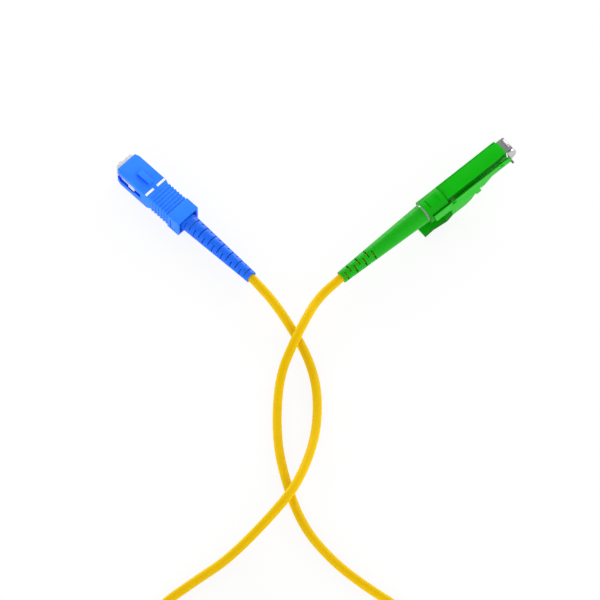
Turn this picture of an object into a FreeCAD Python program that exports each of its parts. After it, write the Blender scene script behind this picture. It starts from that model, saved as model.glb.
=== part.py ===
import FreeCAD, Part
import math
import os
import re

import Sketcher

# A fibre optic patch cable: a square push-pull plug with a slotted boot on one end, a shuttered plug with a
# thumb lever on the other, and a round jacketed cable between them. Lengths are in millimetres.
# Each plug is modelled along +X, from the tail of its boot to the tip of its ferrule, with +Z up,
# and is then laid on the floor where it belongs.

doc = FreeCAD.newDocument("patch_cable")

# Driving dimensions
SIZES = {
    # cable
    "cable_radius": 1.5,
    "fibre_radius": 0.45,
    "cable_slip": 0.05,
    # ferrule, its flange and its spring, alike in both plugs
    "ferrule_radius": 1.25,
    "ferrule_chamfer": 0.3,
    "ferrule_seat_gap": 0.02,
    "ferrule_relief": 0.25,
    "ferrule_step": 0.15,
    "tip_angle": 8.0,
    "flange_radius": 2.1,
    "flange_length": 3.0,
    "flange_floor": 0.5,
    "chamber_gap": 0.1,
    "nose_half": 1.9,
    "spring_length": 7.0,
    "spring_radius": 1.6,
    "spring_wire": 0.22,
    "spring_turns": 6.0,
    "fibre_room": 1.8,
    # back body and crimp ring, alike in both plugs
    "neck_radius": 1.75,
    "neck_length": 5.1,
    "crimp_radius": 2.25,
    "crimp_grip": 4.2,
    "crimp_gap": 0.2,
    "seat_gap": 0.05,
    "barb_length": 1.4,
    "barb_height": 1.0,
    "barb_gap": 0.1,
    # boot of the square plug
    "sc_boot_length": 29.0,
    "sc_boot_socket": 5.5,
    "sc_boot_tail_radius": 2.0,
    "sc_boot_front_radius": 3.0,
    "sc_boot_straight": 1.0,
    "sc_boot_inside": 1.5,
    "sc_boot_neck_radius": 2.7,
    "sc_slot_first": 1.6,
    "sc_slot_step": 2.02,
    "sc_slot_width": 0.35,
    "sc_slot_angle": 122.0,
    # sleeve of the square plug, measured back from its front
    "sc_sleeve_length": 28.5,
    "sc_sleeve_width": 9.0,
    "sc_sleeve_height": 7.4,
    "sc_chamfer_back": 1.7,
    "sc_chamfer_in": 0.54,
    "sc_waist_start": 13.9,
    "sc_waist_slope": 1.3,
    "sc_waist_end": 23.4,
    "sc_waist_depth": 0.45,
    "sc_rib_first": 16.05,
    "sc_rib_step": 1.3,
    "sc_rib_width": 0.65,
    "sc_rib_height": 0.2,
    "sc_key_start": 6.1,
    "sc_key_length": 5.4,
    "sc_key_width": 2.0,
    "sc_key_height": 1.0,
    "sc_mark_start": 13.0,
    "sc_mark_length": 0.85,
    "sc_mark_width": 3.6,
    "sc_mark_space": 1.5,
    "sc_mark_depth": 0.2,
    "sc_mouth_length": 1.4,
    "sc_mouth_height": 2.0,
    "sc_window_length": 8.0,
    "sc_window_height": 3.6,
    "sc_notch_length": 11.0,
    "sc_notch_height": 2.2,
    "sc_tail_width": 7.7,
    "sc_tail_height": 6.4,
    "sc_tail_gap": 0.3,
    "sc_sleeve_travel": 1.4,
    "sc_groove_inset": 1.3,
    "sc_groove_foot": 1.8,
    "sc_groove_rise": 2.4,
    "sc_groove_drop": 2.8,
    "sc_groove_width": 0.4,
    "sc_groove_depth": 0.2,
    # plug frame and stop of the square plug
    "sc_frame_width": 7.0,
    "sc_frame_height": 5.4,
    "sc_frame_gap": 0.1,
    "sc_frame_lead": 1.4,
    "sc_frame_bevel": 0.5,
    "sc_lug_length": 2.7,
    "sc_lug_reach": 0.6,
    "sc_lug_gap": 0.2,
    "sc_ferrule_lead": 1.5,
    "sc_ferrule_free": 7.4,
    "sc_stop_rim": 1.7,
    "sc_stop_rim_radius": 2.6,
    "sc_barb_back": 1.8,
    # boot and back body of the shuttered plug
    "lsh_boot_length": 34.2,
    "lsh_boot_tail_radius": 2.075,
    "lsh_boot_front_radius": 3.3,
    "lsh_slot_first": 1.2,
    "lsh_slot_step": 1.87,
    "lsh_slot_width": 0.5,
    "lsh_slot_angle": 120.0,
    "lsh_slot_roll": 63.0,
    "lsh_rim": 0.55,
    "lsh_rim_radius": 3.3,
    "lsh_barb_back": 9.05,
    # housing of the shuttered plug
    "lsh_collar_length": 7.8,
    "lsh_collar_radius": 4.15,
    "lsh_collar_top": 3.75,
    "lsh_collar_under": 3.0,
    "lsh_flat_start": 1.7,
    "lsh_flat_length": 4.3,
    "lsh_body_length": 25.2,
    "lsh_body_width": 5.3,
    "lsh_body_top": 3.2,
    "lsh_body_under": 2.8,
    "lsh_taper_length": 4.0,
    "lsh_taper_in": 0.3,
    "lsh_ferrule_lead": 0.85,
    "lsh_ferrule_free": 8.1,
    "lsh_trunnion_back": 3.25,
    "lsh_trunnion_radius": 0.6,
    "lsh_trunnion_gap": 0.05,
    # lever of the shuttered plug: lengths from its front backwards, depths below the arms
    "lever_front_gap": 0.2,
    "lever_side_gap": 0.1,
    "lever_groove": 0.75,
    "lever_tip_reach": 1.0,
    "lever_arm": 0.5,
    "lever_arm_top": 1.3,
    "lever_arm_under": 2.2,
    "lever_ramp_start": 7.7,
    "lever_ramp_length": 3.1,
    "lever_ramp_depth": 2.0,
    "lever_hook_length": 1.7,
    "lever_hook_cut": 0.4,
    "lever_hook_depth": 0.2,
    "lever_tooth_length": 2.0,
    "lever_tooth_depth": 4.2,
    "lever_web_length": 2.2,
    "lever_web_depth": 2.6,
    "lever_web_low": 4.6,
    "lever_step_length": 2.4,
    "lever_step_depth": 5.4,
    "lever_heel_inset": 0.5,
    "lever_tab_rise": 2.6,
    "lever_tab_front_depth": 6.8,
    "lever_tab_bow": 5.5,
    "lever_tab_dip_depth": 5.3,
    "lever_tab_tail": 3.6,
    "lever_tab_back_depth": 5.9,
    "lever_tab_wall": 0.95,
    "lever_web_clear": 0.8,
    "lever_heel_clear": 1.1,
    "lever_window_gap": 0.1,
    "lever_strip_inset": 1.2,
    "lever_strip_slant": 0.8,
    "lever_strip_under": 3.4,
    "lever_strip_room": 1.15,
    # shutter of the shuttered plug, measured from the housing's front and the ferrule's axis
    "bracket_length": 1.35,
    "bracket_under": 2.1,
    "bracket_ear": 0.55,
    "bracket_ear_length": 1.2,
    "bracket_ear_drop": 0.1,
    "hinge_lead": 2.0,
    "hinge_up": 2.6,
    "hinge_pin_radius": 0.35,
    "hinge_pin_gap": 0.05,
    "hinge_end_gap": 0.1,
    "barrel_radius": 0.55,
    "visor_lead": 0.8,
    "visor_up": -0.6,
    "visor_radius": 2.75,
    "visor_wall": 0.4,
    "visor_top": 1.75,
    "visor_under": 2.3,
    "visor_back": 0.3,
    "cheek_gap": 0.1,
    "cheek_wall": 0.4,
    "cam_radius": 0.4,
    "cam_drop": 2.8,
    "cam_reach": 1.7,
    "coil_spring_length": 0.85,
    "coil_spring_wire": 0.11,
    "coil_spring_turns": 3.0,
    # where the two plugs lie: the tails of their boots, and the ways that they point
    "sc_tail_x": -21.056,
    "sc_tail_y": -22.141,
    "sc_yaw": 135.03,
    "lsh_tail_x": 8.109,
    "lsh_tail_y": -22.778,
    "lsh_yaw": 39.3,
    "lsh_pitch": 6.0,
    # put-away coil and its tie
    "coil_x": -18.119,
    "coil_y": -168.723,
    "coil_radius": 17.2,
    "coil_bundle": 4.3,
    "tie_wall": 0.6,
    "tie_gap": 0.05,
    "tie_angle": 26.0,
}

# Counts, which set how many features there are
SC_RIBS = 6
SC_SLOTS = 14
LSH_SLOTS = 7
WIRE_SIDES = 6

sheet = doc.addObject("Spreadsheet::Sheet", "Sizes")
for row, (alias, value) in enumerate(SIZES.items(), start=1):
    sheet.set(f"A{row}", alias)
    sheet.set(f"B{row}", str(value))
    sheet.setAlias(f"B{row}", alias)
doc.recompute()

# Helpers

ALONG_X = FreeCAD.Rotation(FreeCAD.Vector(0, 1, 0), 90)
ALONG_Y = FreeCAD.Rotation(FreeCAD.Vector(1, 0, 0), -90)


def tied(text):
    """An expression in which every size is read from the sheet."""
    return re.sub(r"[a-z_]+", lambda word: f"Sizes.{word[0]}" if word[0] in SIZES else word[0], text)


def size(alias):
    """The present value of one size."""
    return float(sheet.get(alias))


def made(kind, name, sizes):
    """An object of the document whose properties are tied to the sheet."""
    thing = doc.addObject(kind, name)
    for name_of_property, text in sizes.items():
        thing.setExpression(name_of_property, tied(text))
    return thing


def place(thing, x, y, z):
    """Tie an object's place to the sheet."""
    for axis, text in zip("xyz", (x, y, z)):
        thing.setExpression(f"Placement.Base.{axis}", tied(text))
    return thing


def box(name, x, y, z):
    """A block between two places along each axis."""
    sides = zip(("Length", "Width", "Height"), (x, y, z))
    spans = {side: f"({high}) - ({low})" for side, (low, high) in sides}
    return place(made("Part::Box", name, spans), x[0], y[0], z[0])


def both_sides(name, x, y, z):
    """Two like blocks, one each side of the plug's middle plane."""
    left = box(f"{name}_left", x, y, z)
    right = box(f"{name}_right", x, (f"-({y[1]})", f"-({y[0]})"), z)
    return [left, right]


def rod_x(name, radius, start, end):
    """A round bar along the plug's axis."""
    rod = made("Part::Cylinder", name, {"Radius": radius, "Height": f"({end}) - ({start})"})
    rod.Placement.Rotation = ALONG_X
    return place(rod, start, "0", "0")


def rod_y(name, radius, start, end, x, z):
    """A round bar across the plug."""
    rod = made("Part::Cylinder", name, {"Radius": radius, "Height": f"({end}) - ({start})"})
    rod.Placement.Rotation = ALONG_Y
    return place(rod, x, start, z)


def joined(name, things):
    """Several solids as one."""
    fuse = doc.addObject("Part::MultiFuse", name)
    fuse.Shapes = things
    return fuse


def cut(name, base, tools):
    """A solid with others taken out of it."""
    taken = doc.addObject("Part::Cut", name)
    taken.Base = base
    taken.Tool = tools[0] if len(tools) == 1 else joined(f"{name}_tools", tools)
    return taken


def common(name, first, second):
    """What two solids share."""
    shared = doc.addObject("Part::Common", name)
    shared.Base = first
    shared.Tool = second
    return shared


def wrapped(name, things):
    """One piece from solids that don't touch, or from a solid that is already placed."""
    group = doc.addObject("Part::Compound", name)
    group.Links = things
    return group


def outline(body, plane, corners):
    """A closed outline on one of a body's own planes, with each corner tied to the sheet."""
    sketch = body.newObject("Sketcher::SketchObject", f"{body.Name}_outline")
    support = [feature for feature in body.Origin.OriginFeatures if feature.Role == plane]
    sketch.AttachmentSupport = (support[0], [""])
    sketch.MapMode = "FlatFace"
    count = len(corners)
    turns = [2 * math.pi * (k + 0.3) / count for k in range(count)]
    start = [FreeCAD.Vector(math.cos(turn), math.sin(turn), 0) for turn in turns]
    sketch.addGeometry([Part.LineSegment(start[k], start[(k + 1) % count]) for k in range(count)], False)
    corner_pairs = [(k, (k + 1) % count) for k in range(count)]
    sketch.addConstraint([Sketcher.Constraint("Coincident", k, 2, after, 1) for k, after in corner_pairs])
    for axis, way in enumerate(("DistanceX", "DistanceY")):
        first = sketch.ConstraintCount
        sketch.addConstraint([Sketcher.Constraint(way, k, 1, start[k][axis]) for k in range(count)])
        for k, corner in enumerate(corners):
            sketch.setExpression(f"Constraints[{first + k}]", tied(corner[axis]))
    return sketch


def padded(name, plane, corners, thickness):
    """A plate with an outline, as thick each side of its plane."""
    body = doc.addObject("PartDesign::Body", name)
    sketch = outline(body, plane, corners)
    pad = body.newObject("PartDesign::Pad", f"{name}_pad")
    pad.Profile = sketch
    pad.SideType = "Symmetric"
    pad.setExpression("Length", tied(thickness))
    sketch.Visibility = False
    return body


def turned(name, corners):
    """A piece turned about the plug's axis from an outline of places and radii."""
    body = doc.addObject("PartDesign::Body", name)
    sketch = outline(body, "XZ_Plane", corners)
    revolution = body.newObject("PartDesign::Revolution", f"{name}_turn")
    revolution.Profile = sketch
    revolution.ReferenceAxis = (sketch, ["H_Axis"])
    revolution.Angle = 360
    return body


PIECES = {}


def keep(thing, label, plug):
    """Name a finished piece and note which plug it belongs to."""
    thing.Label = label
    PIECES[label] = (thing, plug)
    return thing


# Stations along the two plugs

sc_boot_end = "(sc_boot_length + sc_boot_socket)"
sc_sleeve_front = "(sc_boot_length + sc_sleeve_length)"
sc_frame_back = f"({sc_boot_end} + sc_stop_rim)"
sc_frame_front = f"({sc_sleeve_front} + sc_frame_lead)"
sc_tip = f"({sc_frame_front} + sc_ferrule_lead)"
sc_seat = f"({sc_tip} - sc_ferrule_free)"

lsh_boot_end = "lsh_boot_length"
lsh_collar_back = "(lsh_boot_length + lsh_rim)"
lsh_collar_front = f"({lsh_collar_back} + lsh_collar_length)"
lsh_front = f"({lsh_collar_front} + lsh_body_length)"
lsh_tip = f"({lsh_front} + lsh_ferrule_lead)"
lsh_seat = f"({lsh_tip} - lsh_ferrule_free)"

chamber = "(flange_radius + chamber_gap)"
stop_radius = f"({chamber} - seat_gap)"
cable_bore = "(cable_radius + cable_slip)"
crimp_pocket = "(crimp_radius + seat_gap)"


# Pieces that both plugs have

def flange_back(seat):
    """The back of the ferrule's flange, which bears on the spring."""
    return f"({seat} - flange_length)"


def ferrule_root(seat):
    """The inner end of the ferrule, on the floor of its flange."""
    return f"({seat} - flange_length + flange_floor)"


def stop_front(seat):
    """The front of the back body, which the spring stands on."""
    return f"({seat} - flange_length - spring_length)"


def make_ferrule(plug, tip, seat, angled):
    """A ceramic ferrule with a relieved root and a bevelled tip, square or cut at the polish angle."""
    start = ferrule_root(seat)
    step = f"({seat} + ferrule_step)"
    blank = turned(
        f"{plug}_ferrule_blank",
        [
            (start, "0"),
            (start, "ferrule_radius - ferrule_relief"),
            (step, "ferrule_radius - ferrule_relief"),
            (step, "ferrule_radius"),
            (f"{tip} - ferrule_chamfer", "ferrule_radius"),
            (tip, "ferrule_radius - ferrule_chamfer"),
            (tip, "0"),
        ],
    )
    if not angled:
        return keep(blank, f"{plug}_ferrule", plug)
    half = "(2 * ferrule_radius)"
    lean = f"{half} * tan(tip_angle * 1 deg)"
    polish = padded(
        f"{plug}_polish",
        "XZ_Plane",
        [
            (f"{tip} - {lean}", half),
            (f"{tip} + {lean}", f"-{half}"),
            (f"{tip} + 2 * {half}", f"-{half}"),
            (f"{tip} + 2 * {half}", half),
        ],
        f"2 * {half}",
    )
    return keep(cut(f"{plug}_ferrule_polished", blank, [polish]), f"{plug}_ferrule", plug)


def make_flange(plug, seat):
    """The metal flange that holds the ferrule's root and bears on the spring."""
    back = flange_back(seat)
    root = ferrule_root(seat)
    hole = "(fibre_radius + seat_gap)"
    bore = "(ferrule_radius - ferrule_relief + ferrule_seat_gap)"
    flange = turned(
        f"{plug}_flange_blank",
        [
            (back, hole),
            (back, "flange_radius"),
            (seat, "flange_radius"),
            (seat, bore),
            (root, bore),
            (root, hole),
        ],
    )
    return keep(flange, f"{plug}_ferrule_flange", plug)


def make_spring(plug, seat):
    """The compression spring between the back body and the flange."""
    wind = made(
        "Part::Helix",
        f"{plug}_spring_line",
        {
            "Radius": "spring_radius",
            "Pitch": "(spring_length - 2 * spring_wire - 2 * seat_gap) / spring_turns",
            "Height": "spring_length - 2 * spring_wire - 2 * seat_gap",
        },
    )
    wire = made("Part::RegularPolygon", f"{plug}_spring_wire", {"Circumradius": "spring_wire"})
    wire.Polygon = WIRE_SIDES
    wire.Placement.Rotation = FreeCAD.Rotation(FreeCAD.Vector(1, 0, 0), 90)
    place(wire, "spring_radius", "0", "0")
    coil = doc.addObject("Part::Sweep", f"{plug}_spring_coil")
    coil.Sections = [wire]
    coil.Spine = (wind, [])
    coil.Solid = True
    coil.Frenet = True
    coil.Placement.Rotation = ALONG_X
    place(coil, f"{stop_front(seat)} + spring_wire + seat_gap", "0", "0")
    return keep(wrapped(f"{plug}_spring", [coil]), f"{plug}_ferrule_spring", plug)


def make_back_body(plug, boot_end, rim, rim_radius, seat, barb_back, barb_reach):
    """The back body: crimp neck, rim, spring stop and two snap barbs."""
    neck_back = f"({boot_end} - neck_length)"
    rim_front = f"({boot_end} + {rim})"
    hole = "(fibre_radius + seat_gap)"
    blank = turned(
        f"{plug}_back_blank",
        [
            (neck_back, hole),
            (neck_back, "neck_radius"),
            (boot_end, "neck_radius"),
            (boot_end, rim_radius),
            (rim_front, rim_radius),
            (rim_front, stop_radius),
            (stop_front(seat), stop_radius),
            (stop_front(seat), hole),
        ],
    )
    start = f"({rim_front} + {barb_back})"
    barbs = both_sides(
        f"{plug}_barb",
        (start, f"{start} + barb_length"),
        ("neck_radius", barb_reach),
        ("-barb_height / 2", "barb_height / 2"),
    )
    return keep(joined(f"{plug}_back_whole", [blank] + barbs), f"{plug}_back_body", plug)


def barb_windows(plug, boot_end, rim, barb_back, reach):
    """The two windows that the snap barbs of a back body stand in."""
    start = f"({boot_end} + {rim} + {barb_back})"
    return both_sides(
        f"{plug}_barb_window",
        (f"{start} - barb_gap", f"{start} + barb_length + barb_gap"),
        ("neck_radius", reach),
        ("-barb_height / 2 - barb_gap", "barb_height / 2 + barb_gap"),
    )


def make_crimp_ring(plug, boot_end):
    """The ring crimped over the neck and the end of the jacket."""
    step = f"({boot_end} - neck_length - crimp_gap)"
    ring = turned(
        f"{plug}_crimp_blank",
        [
            (f"{step} - crimp_grip", cable_bore),
            (f"{step} - crimp_grip", "crimp_radius"),
            (f"{boot_end} - crimp_gap", "crimp_radius"),
            (f"{boot_end} - crimp_gap", "neck_radius + seat_gap"),
            (step, "neck_radius + seat_gap"),
            (step, cable_bore),
        ],
    )
    return keep(ring, f"{plug}_crimp_ring", plug)


def make_fibre(plug, boot_end, seat):
    """The buffered fibre from the end of the cable to the root of the ferrule."""
    start = f"{boot_end} - neck_length - crimp_gap + fibre_room"
    rod = rod_x(f"{plug}_fibre_rod", "fibre_radius", start, ferrule_root(seat))
    return keep(wrapped(f"{plug}_fibre_whole", [rod]), f"{plug}_fibre", plug)


def make_boot(plug, boot_end, front, tail_radius, slots):
    """A tapered boot with a bore for the cable, a pocket for the crimp ring, and slots that let it bend."""
    pocket = f"({boot_end} - neck_length - 2 * crimp_gap - crimp_grip)"
    blank = turned(
        f"{plug}_boot_blank",
        [
            ("0", cable_bore),
            ("0", tail_radius),
            *front,
            (boot_end, crimp_pocket),
            (pocket, crimp_pocket),
            (pocket, cable_bore),
        ],
    )
    return keep(cut(f"{plug}_boot_slotted", blank, slots), f"{plug}_boot", plug)


def boot_slots(plug, count, front_radius, turns):
    """Pairs of slots along a boot; every second pair is turned to bridge the one before."""
    slots = []
    angle = size(f"{plug}_slot_angle")
    for number in range(count):
        for facing in turns[number % 2]:
            spans = {
                "Radius": f"2 * {front_radius}",
                "Height": f"{plug}_slot_width",
                "Angle": f"{plug}_slot_angle",
            }
            slot = made("Part::Cylinder", f"{plug}_slot", spans)
            roll = FreeCAD.Rotation(FreeCAD.Vector(1, 0, 0), facing + 90 - angle / 2)
            slot.Placement.Rotation = roll.multiply(ALONG_X)
            place(slot, f"{plug}_slot_first + {number} * {plug}_slot_step", "0", "0")
            slots.append(slot)
    return slots


# Square plug: the coupling sleeve

def sleeve_side(half, chamfered):
    """One side of the sleeve's outline, from back to front: rear block, ribbed waist, front block."""
    low = f"({half} - sc_waist_depth)"
    crest = f"({low} + sc_rib_height)"
    corners = [
        ("sc_boot_length", half),
        (f"{sc_sleeve_front} - sc_waist_end", half),
        (f"{sc_sleeve_front} - sc_waist_end", low),
    ]
    for rib in reversed(range(SC_RIBS)):
        middle = f"({sc_sleeve_front} - sc_rib_first - {rib} * sc_rib_step)"
        back = f"{middle} - sc_rib_width / 2"
        front = f"{middle} + sc_rib_width / 2"
        corners += [(back, low), (back, crest), (front, crest), (front, low)]
    corners += [
        (f"{sc_sleeve_front} - sc_waist_start - sc_waist_slope", low),
        (f"{sc_sleeve_front} - sc_waist_start", half),
    ]
    if chamfered:
        corners += [
            (f"{sc_sleeve_front} - sc_chamfer_back", half),
            (sc_sleeve_front, f"{half} - sc_chamfer_in"),
        ]
    else:
        corners += [(sc_sleeve_front, half)]
    return corners


def sleeve_outline(half, chamfered):
    """The sleeve's outline, alike on both sides."""
    side = sleeve_side(half, chamfered)
    return side + [(x, f"-({y})") for x, y in reversed(side)]


def make_sleeve():
    """The coupling sleeve, open at both ends, with its key, side windows and mark recesses."""
    half_width = "(sc_sleeve_width / 2)"
    half_height = "(sc_sleeve_height / 2)"
    plan = padded("sleeve_plan", "XY_Plane", sleeve_outline(half_width, True), "sc_sleeve_height")
    flank = padded("sleeve_flank", "XZ_Plane", sleeve_outline(half_height, False), "sc_sleeve_width")
    block = common("sleeve_block", plan, flank)
    key_front = f"({sc_sleeve_front} - sc_key_start)"
    key = box(
        "sleeve_key",
        (f"{key_front} - sc_key_length", key_front),
        ("-sc_key_width / 2", "sc_key_width / 2"),
        (f"{half_height} - sc_mark_depth", f"{half_height} + sc_key_height"),
    )
    inner_width = "(sc_frame_width / 2 + sc_frame_gap)"
    inner_height = "(sc_frame_height / 2 + sc_frame_gap)"
    cavity = box(
        "sleeve_cavity",
        ("sc_boot_length", sc_sleeve_front),
        (f"-{inner_width}", inner_width),
        (f"-{inner_height}", inner_height),
    )
    tail = box(
        "sleeve_tail",
        ("sc_boot_length", "sc_boot_length + sc_boot_inside + sc_sleeve_travel + sc_tail_gap"),
        ("-sc_tail_width / 2", "sc_tail_width / 2"),
        ("-sc_tail_height / 2", "sc_tail_height / 2"),
    )
    side_cuts = (("mouth", "0"), ("window", "sc_mouth_length"), ("notch", "sc_window_length"))
    windows = [
        box(
            f"sleeve_{part}",
            (f"{sc_sleeve_front} - sc_{part}_length", f"{sc_sleeve_front} - {start}"),
            (f"-{half_width}", half_width),
            (f"-sc_{part}_height / 2", f"sc_{part}_height / 2"),
        )
        for part, start in side_cuts
    ]
    groove_front = f"({sc_sleeve_front} - sc_waist_end - sc_groove_inset)"
    groove_side = (f"{half_width} - sc_groove_depth", half_width)
    grooves = both_sides(
        "sleeve_groove_leg",
        (f"{groove_front} - sc_groove_width", groove_front),
        groove_side,
        ("-sc_groove_drop", "sc_groove_rise"),
    )
    grooves += both_sides(
        "sleeve_groove_foot",
        (f"{groove_front} - sc_groove_foot", groove_front),
        groove_side,
        ("-sc_groove_drop", "-sc_groove_drop + sc_groove_width"),
    )
    hollow = [cavity, tail] + windows + grooves + mark_boxes("sleeve_mark_recess")
    shell = cut("sleeve_shell", block, hollow)
    return keep(joined("sleeve_whole", [shell, key]), "sc_sleeve", "sc")


def mark_boxes(name):
    """The two depth marks across the top of the sleeve, one each side of its middle."""
    front = f"({sc_sleeve_front} - sc_mark_start)"
    top = "(sc_sleeve_height / 2)"
    return both_sides(
        name,
        (f"{front} - sc_mark_length", front),
        ("sc_mark_space / 2", "sc_mark_space / 2 + sc_mark_width"),
        (f"{top} - sc_mark_depth", top),
    )


def make_depth_marks():
    """The white inlays that show how far the plug is pushed in."""
    return keep(wrapped("depth_marks", mark_boxes("depth_mark")), "sc_depth_marks", "sc")


def make_plug_frame():
    """The inner plug frame: a square tube with a bevelled nose, a latch lug each side and barb windows."""
    half = "(sc_frame_width / 2)"
    opening = ("-nose_half", "nose_half")
    bevel = f"({sc_frame_front} - sc_frame_bevel)"
    plan = padded(
        "frame_plan",
        "XY_Plane",
        [
            (sc_frame_back, half),
            (bevel, half),
            (sc_frame_front, f"{half} - sc_frame_bevel"),
            (sc_frame_front, f"-({half} - sc_frame_bevel)"),
            (bevel, f"-{half}"),
            (sc_frame_back, f"-{half}"),
        ],
        "sc_frame_height",
    )
    lug_back = f"({sc_sleeve_front} - sc_window_length + sc_lug_gap)"
    lugs = both_sides(
        "frame_lug",
        (lug_back, f"{lug_back} + sc_lug_length"),
        (f"{half} - sc_lug_reach", f"{half} + sc_lug_reach"),
        ("-sc_window_height / 2 + sc_lug_gap", "sc_window_height / 2 - sc_lug_gap"),
    )
    bores = [
        rod_x("frame_chamber", chamber, sc_frame_back, sc_seat),
        box("frame_nose", (sc_seat, sc_frame_front), opening, opening),
    ]
    bores += barb_windows("sc", sc_boot_end, "sc_stop_rim", "sc_barb_back", f"{half}")
    solid = joined("frame_solid", [plan] + lugs)
    return keep(cut("frame_bored", solid, bores), "sc_plug_frame", "sc")


# Shuttered plug: housing and lever

trunnion_x = f"({lsh_front} - lsh_trunnion_back)"
arm_in = "(lsh_body_width / 2 + lever_groove)"
arm_out = f"({arm_in} + lever_arm)"


def make_housing():
    """The housing: a round collar with flats, a slim body, a bore for the ferrule, and the trunnions."""
    half = "(lsh_body_width / 2)"
    opening = ("-nose_half", "nose_half")
    taper = f"({lsh_front} - lsh_taper_length)"
    body_plan = padded(
        "housing_plan",
        "XY_Plane",
        [
            (lsh_collar_front, half),
            (taper, half),
            (lsh_front, f"{half} - lsh_taper_in"),
            (lsh_front, f"-({half} - lsh_taper_in)"),
            (taper, f"-{half}"),
            (lsh_collar_front, f"-{half}"),
        ],
        "2 * lsh_body_top",
    )
    under = box(
        "housing_under",
        (lsh_collar_front, lsh_front),
        (f"-{half}", half),
        ("-lsh_body_top", "-lsh_body_under"),
    )
    slim = cut("housing_slim", body_plan, [under])
    collar = rod_x("housing_collar", "lsh_collar_radius", lsh_collar_back, lsh_collar_front)
    side = ("-lsh_collar_radius", "lsh_collar_radius")
    flat_back = f"({lsh_collar_back} + lsh_flat_start)"
    flat_reach = (flat_back, f"{flat_back} + lsh_flat_length")
    collar_reach = (lsh_collar_back, lsh_collar_front)
    flats = [
        box("collar_flat", flat_reach, side, ("lsh_collar_top", "lsh_collar_radius")),
        box("collar_under", collar_reach, side, ("-lsh_collar_radius", "-lsh_collar_under")),
    ]
    flats += both_sides(
        "collar_side",
        (f"{lsh_collar_back} + lever_strip_inset - lever_front_gap", lsh_collar_front),
        (f"{arm_in} - lever_side_gap", "lsh_collar_radius"),
        ("-lsh_collar_radius", "lever_arm_top + lever_strip_room"),
    )
    round_end = cut("housing_round_end", collar, flats)
    arm_middle = f"({arm_in} + lever_arm * 2 / 3)"
    root = f"({half} - lsh_taper_in - lever_side_gap)"
    trunnions = [
        rod_y(f"trunnion_{name}", "lsh_trunnion_radius", low, high, trunnion_x, "0")
        for name, low, high in (("left", root, arm_middle), ("right", f"-{arm_middle}", f"-{root}"))
    ]
    solid = joined("housing_solid", [slim, round_end] + trunnions)
    bores = [
        rod_x("housing_chamber", chamber, lsh_collar_back, lsh_seat),
        box("housing_nose", (lsh_seat, lsh_front), opening, opening),
    ]
    bores += barb_windows("lsh", lsh_boot_end, "lsh_rim", "lsh_barb_back", half)
    return keep(cut("housing_bored", solid, bores), "lsh_housing", "lsh")


def back(distance):
    """A place so far back from the front of the shuttered plug's housing."""
    return f"{lsh_front} - {distance}"


def below(depth):
    """A height so far below the under edge of the lever's arms."""
    return f"-lever_arm_under - {depth}"


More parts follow.
